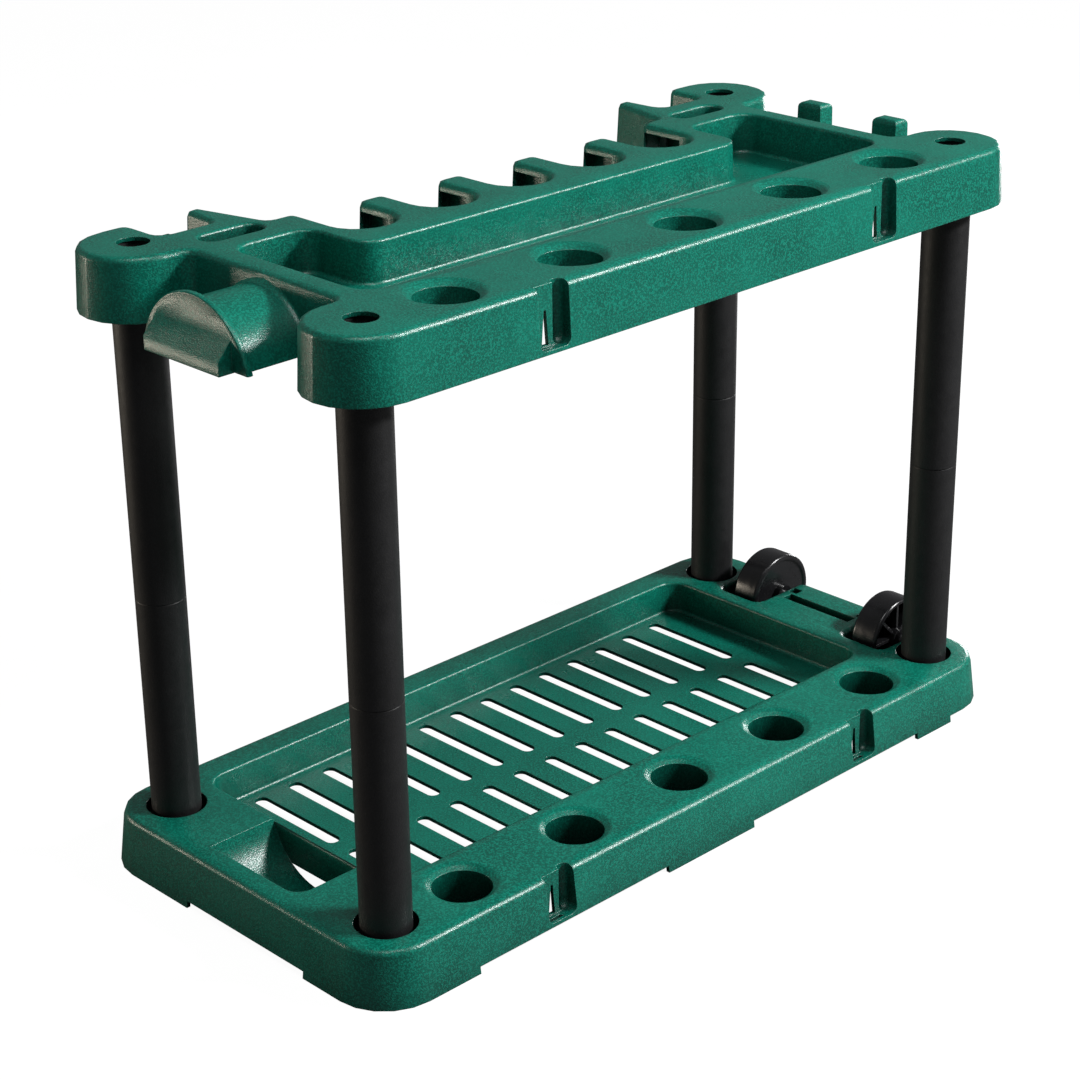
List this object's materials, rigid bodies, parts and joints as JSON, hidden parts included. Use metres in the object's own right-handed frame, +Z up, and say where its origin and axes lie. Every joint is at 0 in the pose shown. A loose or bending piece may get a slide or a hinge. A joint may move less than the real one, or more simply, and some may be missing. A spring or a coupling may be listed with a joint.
{
  "type": "freestanding garden tool rack",
  "caption": "Moulded garden tool rack: open base and upper shelf on tube posts, tool holes, hanging comb, trays, hooks, pull grip and wheels at one end.",
  "frame": {"origin": "on the ground, midway between the four posts", "axes": "+X along the rack towards the wheels, +Y across it away from the row of tool holes, +Z up"},
  "size_m": [0.709, 0.3293, 0.4826],
  "materials": {
    "green": "satin, fine grain",
    "black_tube": "fine grained satin",
    "black_wheel": "gloss",
    "steel": "plain"
  },
  "bodies": {
    "frame": {"base_tray": "green", "top_shelf": "green", "lower_post_front_left": "black_tube", "lower_post_front_right": "black_tube", "lower_post_back_left": "black_tube", "lower_post_back_right": "black_tube", "upper_post_front_left": "black_tube", "upper_post_front_right": "black_tube", "upper_post_back_left": "black_tube", "upper_post_back_right": "black_tube", "axle_rod": "steel", "axle_cap_front": "black_wheel", "axle_cap_back": "black_wheel", "hook_end_front": "green", "hook_end_back": "green", "hook_rear_left": "green", "hook_rear_right": "green"},
    "wheel_front": {"wheel_front": "black_wheel"},
    "wheel_back": {"wheel_back": "black_wheel"}
  },
  "joints": [
    {"name": "wheel_front_turn", "type": "hinge", "parent": "frame", "child": "wheel_front", "pos_m": [0.32, -0.067, 0.0365], "axis": [0, 1, 0], "continuous": true},
    {"name": "wheel_back_turn", "type": "hinge", "parent": "frame", "child": "wheel_back", "pos_m": [0.32, 0.067, 0.0365], "axis": [0, 1, 0], "continuous": true}
  ]
}
